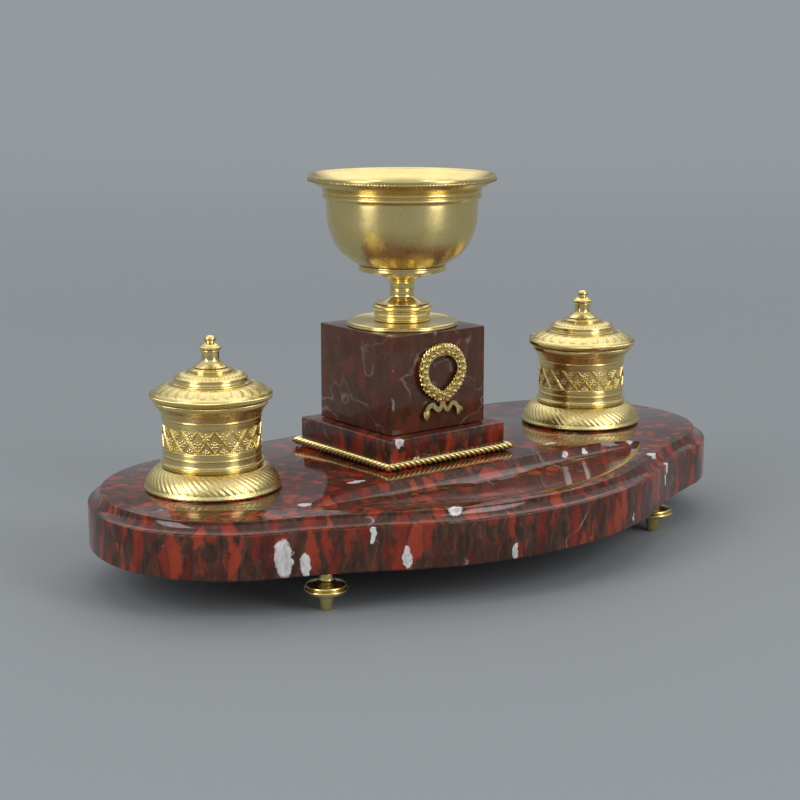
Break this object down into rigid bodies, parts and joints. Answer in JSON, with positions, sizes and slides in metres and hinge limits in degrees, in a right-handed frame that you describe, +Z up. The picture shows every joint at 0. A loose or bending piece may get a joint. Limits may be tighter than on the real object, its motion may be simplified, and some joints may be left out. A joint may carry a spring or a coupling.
{
  "type": "desk inkstand",
  "caption": "Desk inkstand: bow-fronted red marble base with a scooped pen tray, a footed gilt cup on a square plinth, round hinged-lid inkwells and turned feet.",
  "frame": {"origin": "on the surface that the feet stand on, under the middle of the base's bounding box", "axes": "+X runs along the base to the right-hand inkwell, +Z is up, and the front with the pen tray and the wreath faces -Y"},
  "size_m": [0.356, 0.1836, 0.1842],
  "materials": {
    "griotte_marble": "mirror-polished griotte marble: rust-red clasts in a grey-brown ground, white calcite eyes and hairline veins",
    "gilt_bronze": "fire-gilt turned and chased bronze, satin grounds with burnished beads",
    "white_porcelain": "glossy white glaze",
    "dark_steel": "dull turned steel"
  },
  "bodies": {
    "inkstand": {"marble_base": "griotte_marble", "plinth_step": "griotte_marble", "plinth_block": "griotte_marble", "rope_border_front": "gilt_bronze", "rope_border_back": "gilt_bronze", "rope_border_left": "gilt_bronze", "rope_border_right": "gilt_bronze", "laurel_wreath": "gilt_bronze", "wreath_pin_upper": "gilt_bronze", "wreath_pin_lower": "gilt_bronze", "cup_base_plate": "gilt_bronze", "cup_knop": "gilt_bronze", "cup_stem": "gilt_bronze", "cup_collar": "gilt_bronze", "cup_bowl": "gilt_bronze", "cup_cap_nut": "gilt_bronze", "foot_front_left": "gilt_bronze", "foot_front_right": "gilt_bronze", "foot_back_left": "gilt_bronze", "foot_back_right": "gilt_bronze", "inkwell_foot_left": "gilt_bronze", "inkwell_body_left": "gilt_bronze", "hinge_bracket_left": "gilt_bronze", "inkwell_foot_right": "gilt_bronze", "inkwell_body_right": "gilt_bronze", "hinge_bracket_right": "gilt_bronze", "ink_liner_left": "white_porcelain", "ink_liner_right": "white_porcelain", "cup_tie_rod": "dark_steel", "cup_washer": "dark_steel", "cup_nut": "dark_steel", "inkwell_bolt_left": "dark_steel", "inkwell_washer_left": "dark_steel", "inkwell_nut_left": "dark_steel", "hinge_pin_left": "dark_steel", "inkwell_bolt_right": "dark_steel", "inkwell_washer_right": "dark_steel", "inkwell_nut_right": "dark_steel", "hinge_pin_right": "dark_steel"},
    "lid_left": {"inkwell_lid_left": "gilt_bronze", "lid_finial_left": "gilt_bronze", "lid_knuckle_left": "gilt_bronze"},
    "lid_right": {"inkwell_lid_right": "gilt_bronze", "lid_finial_right": "gilt_bronze", "lid_knuckle_right": "gilt_bronze"}
  },
  "joints": [
    {"name": "lid_left_hinge", "type": "hinge", "parent": "inkstand", "child": "lid_left", "pos_m": [-0.1183, 0.05395, 0.0875], "axis": [-1, 0, 0], "range_deg": [0, 100]},
    {"name": "lid_right_hinge", "type": "hinge", "parent": "inkstand", "child": "lid_right", "pos_m": [0.1183, 0.05395, 0.0875], "axis": [-1, 0, 0], "range_deg": [0, 100]}
  ]
}
